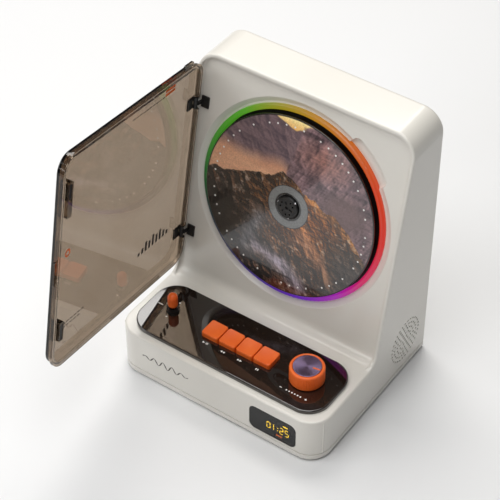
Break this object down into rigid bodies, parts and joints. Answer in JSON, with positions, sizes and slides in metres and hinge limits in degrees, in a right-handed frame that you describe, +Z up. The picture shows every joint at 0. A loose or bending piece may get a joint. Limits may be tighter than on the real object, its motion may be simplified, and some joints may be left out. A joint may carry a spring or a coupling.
{
  "type": "desktop disc player",
  "caption": "Upright disc player with a sloping disc tower, a clear side-hinged door, a control deck with keys, a knob and a toggle, and a light ring around the disc.",
  "frame": {"origin": "centre of the base pad's underside, on the surface the player stands on", "axes": "+X to the player's right, +Y to its back, +Z up"},
  "size_m": [0.152, 0.2059, 0.2145],
  "materials": {
    "cream_plastic": "satin gloss moulded cream plastic",
    "rubber_pad": "matt rubber",
    "screw_steel": "zinc plated",
    "light_guide": "diffusing light guide lit in changing colours",
    "board_green": "solder mask",
    "black_plastic": "fine textured black plastic",
    "motor_steel": "turned steel",
    "chrome_balls": "polished",
    "disc_print": "glossy printed label side",
    "lens_glass": "coated lens",
    "smoked_clear": "smoke tinted clear acrylic",
    "magnet_black": "black plated magnet",
    "panel_gloss": "deep gloss dark brown acrylic",
    "orange_plastic": "satin orange plastic",
    "spun_metal": "radially spun dark aluminium",
    "window_gloss": "deep gloss black window",
    "cone_paper": "pressed paper",
    "battery_wrap": "shrink wrap"
  },
  "bodies": {
    "base": {"housing": "cream_plastic", "bottom_cover": "cream_plastic", "back_cover": "cream_plastic", "base_pad": "rubber_pad", "bottom_screws": "screw_steel", "back_screws": "screw_steel", "tray_screws": "screw_steel", "board_screws": "screw_steel", "main_board_screws": "screw_steel", "light_ring": "light_guide", "light_board": "board_green", "disc_tray": "black_plastic", "spindle_motor": "motor_steel", "sled_rails": "motor_steel", "sled_motor": "motor_steel", "hinge_brackets": "black_plastic", "keeper_magnets": "magnet_black", "control_panel": "panel_gloss", "control_board": "board_green", "key_switches": "black_plastic", "volume_potentiometer": "motor_steel", "toggle_switch": "black_plastic", "toggle_bush": "black_plastic", "display_window": "window_gloss", "display_module": "black_plastic", "display_board": "board_green", "speaker_frame_left": "black_plastic", "speaker_frame_right": "black_plastic", "speaker_cone_left": "cone_paper", "speaker_cone_right": "cone_paper", "main_board": "board_green", "battery": "battery_wrap", "socket_board": "board_green", "usb_port": "motor_steel", "audio_jack": "black_plastic"},
    "door": {"door_panel": "smoked_clear", "hinge_leaves": "black_plastic", "hinge_pins": "motor_steel", "catch_holders": "smoked_clear", "catch_magnets": "magnet_black", "pull_tab": "smoked_clear", "top_tab": "smoked_clear"},
    "spindle": {"spindle_shaft": "motor_steel", "disc_hub": "black_plastic", "hub_balls": "chrome_balls", "disc": "disc_print"},
    "pickup": {"laser_sled": "black_plastic", "laser_lens": "lens_glass"},
    "screw": {"lead_screw": "motor_steel"},
    "volume": {"volume_knob": "orange_plastic", "knob_cap": "spun_metal", "knob_pointer": "orange_plastic", "volume_shaft": "motor_steel"},
    "toggle": {"toggle_lever": "motor_steel", "toggle_cap": "orange_plastic"},
    "key_previous": {"button_previous": "orange_plastic"},
    "key_play": {"button_play": "orange_plastic"},
    "key_next": {"button_next": "orange_plastic"},
    "key_stop": {"button_stop": "orange_plastic"}
  },
  "joints": [
    {"name": "door_hinge", "type": "hinge", "parent": "base", "child": "door", "pos_m": [-0.07266, 0.0132, 0.11586], "axis": [0, -0.1985, -0.9801], "range_deg": [-84.4, 23]},
    {"name": "disc_spin", "type": "hinge", "parent": "base", "child": "spindle", "pos_m": [0, 0.01565, 0.11537], "axis": [0, -0.9801, 0.1985], "continuous": true},
    {"name": "sled_slide", "type": "slide", "parent": "base", "child": "pickup", "axis": [0, -0.1985, -0.9801], "range_m": [0, 0.033]},
    {"name": "screw_spin", "type": "hinge", "parent": "base", "child": "screw", "pos_m": [0.021, 0.02705, 0.08857], "axis": [0, 0.1985, 0.9801], "range_deg": [0, 3960]},
    {"name": "volume_turn", "type": "hinge", "parent": "base", "child": "volume", "pos_m": [0.0483, -0.03375, 0.045], "axis": [0, 0, 1], "range_deg": [-150, 150]},
    {"name": "toggle_tilt", "type": "hinge", "parent": "base", "child": "toggle", "pos_m": [-0.0527, -0.03335, 0.0354], "axis": [1, 0, 0], "range_deg": [-12, 12]},
    {"name": "previous_press", "type": "slide", "parent": "base", "child": "key_previous", "axis": [0, 0, 1], "range_m": [-0.0012, 0], "stiffness_N_per_m": 400, "springref_m": 0.0004},
    {"name": "play_press", "type": "slide", "parent": "base", "child": "key_play", "axis": [0, 0, 1], "range_m": [-0.0012, 0], "stiffness_N_per_m": 400, "springref_m": 0.0004},
    {"name": "next_press", "type": "slide", "parent": "base", "child": "key_next", "axis": [0, 0, 1], "range_m": [-0.0012, 0], "stiffness_N_per_m": 400, "springref_m": 0.0004},
    {"name": "stop_press", "type": "slide", "parent": "base", "child": "key_stop", "axis": [0, 0, 1], "range_m": [-0.0012, 0], "stiffness_N_per_m": 400, "springref_m": 0.0004}
  ],
  "couplings": [
    {"joint": "screw_spin", "follows": "sled_slide", "rad_per_m": 2094.4}
  ]
}
